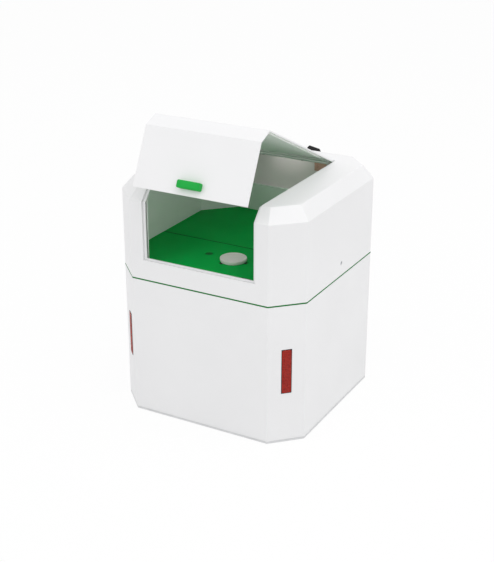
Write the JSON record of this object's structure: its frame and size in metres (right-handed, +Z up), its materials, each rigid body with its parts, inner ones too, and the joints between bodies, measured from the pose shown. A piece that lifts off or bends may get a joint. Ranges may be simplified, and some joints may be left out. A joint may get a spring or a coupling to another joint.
{
  "type": "x-ray fluorescence spectrometer",
  "caption": "Benchtop x-ray fluorescence spectrometer with octagonal white casing, hinged wrap-over lid, green sample deck and inner measuring head.",
  "frame": {"origin": "on the bench under the middle of the whole footprint, open lid included", "axes": "+Z up, front of the casing towards -Y, +X to the right seen from the front"},
  "size_m": [0.34, 0.3748, 0.5087],
  "materials": {
    "case_enamel": "satin white powder coat",
    "lid_enamel": "satin white powder coat",
    "seam_green": "moulded green",
    "handle_green": "moulded bright green",
    "deck_green": "semi-gloss green enamel",
    "chamber_sheet": "satin sheet",
    "liner_sheet": "satin sheet",
    "bronze": "bronze finish",
    "steel": "plain",
    "aluminium": "machined",
    "rubber": "moulded",
    "lens_red": "translucent red",
    "circuit_board": "solder mask",
    "black_plastic": "moulded",
    "panel_grey": "fine texture",
    "disc_grey": "moulded",
    "window_glass": "polished",
    "lamp_white": "opal diffuser",
    "foil_brass": "rolled foil"
  },
  "bodies": {
    "case": {"lower_casing": "case_enamel", "upper_casing": "case_enamel", "seam_strip": "seam_green", "base_plate": "aluminium", "rubber_feet": "rubber", "foot_screws": "steel", "opening_frame": "case_enamel", "hinge_leaf_case": "steel", "hinge_pin": "steel", "hinge_brackets": "bronze", "deck_front": "deck_green", "deck_rear": "deck_green", "deck_frame": "steel", "cover_screws": "steel", "aperture_ring": "steel", "window_film": "window_glass", "camera_window": "window_glass", "sample_camera": "circuit_board", "chamber_wall_left": "chamber_sheet", "chamber_wall_right": "chamber_sheet", "chamber_back_lower": "chamber_sheet", "chamber_back_upper": "chamber_sheet", "lamp_boards": "circuit_board", "lamp_lens_left": "lens_red", "lamp_lens_right": "lens_red", "beacon": "black_plastic", "head_block": "aluminium", "slide_actuator": "black_plastic", "tube_plate": "aluminium", "xray_tube": "aluminium", "filter_motor": "black_plastic", "detector": "aluminium", "pulse_processor": "aluminium", "hv_supply": "black_plastic", "mains_supply": "aluminium", "control_board": "circuit_board", "board_standoffs": "steel", "board_components": "black_plastic", "chassis_uprights": "steel", "rear_panel": "panel_grey", "panel_screws": "steel", "power_inlet": "black_plastic", "data_port": "black_plastic", "fan_frame": "black_plastic", "fan_guard": "steel", "fan_screws": "steel", "lid_sensor": "black_plastic", "chamber_lamp": "lamp_white"},
    "lid": {"lid_shell": "lid_enamel", "lid_liner": "liner_sheet", "lid_handle": "handle_green", "handle_screws": "steel", "hinge_leaf_lid": "steel", "lid_magnet": "steel"},
    "sample": {"sample_cup": "disc_grey"},
    "slide": {"collimator_slide": "aluminium"},
    "wheel": {"filter_wheel": "aluminium", "filter_foils": "foil_brass"},
    "fan": {"fan_rotor": "black_plastic"},
    "rocker": {"power_switch": "black_plastic"}
  },
  "joints": [
    {"name": "lid_hinge", "type": "hinge", "parent": "case", "child": "lid", "pos_m": [0, 0.11856, 0.394], "axis": [-1, 0, 0], "range_deg": [-25.5, 44.5]},
    {"name": "sample_lift", "type": "slide", "parent": "case", "child": "sample", "axis": [0, 0, 1], "range_m": [0, 0.06]},
    {"name": "collimator_travel", "type": "slide", "parent": "case", "child": "slide", "axis": [0, 1, 0], "range_m": [-0.014, 0.014]},
    {"name": "filter_spin", "type": "hinge", "parent": "case", "child": "wheel", "pos_m": [0.0185, -0.10444, 0.271], "axis": [0.7071, 0, 0.7071], "continuous": true},
    {"name": "fan_spin", "type": "hinge", "parent": "case", "child": "fan", "pos_m": [-0.06, 0.16026, 0.098], "axis": [0, 1, 0], "continuous": true},
    {"name": "power_rocker", "type": "hinge", "parent": "case", "child": "rocker", "pos_m": [0.084, 0.17226, 0.091], "axis": [1, 0, 0], "range_deg": [0, 16]}
  ]
}
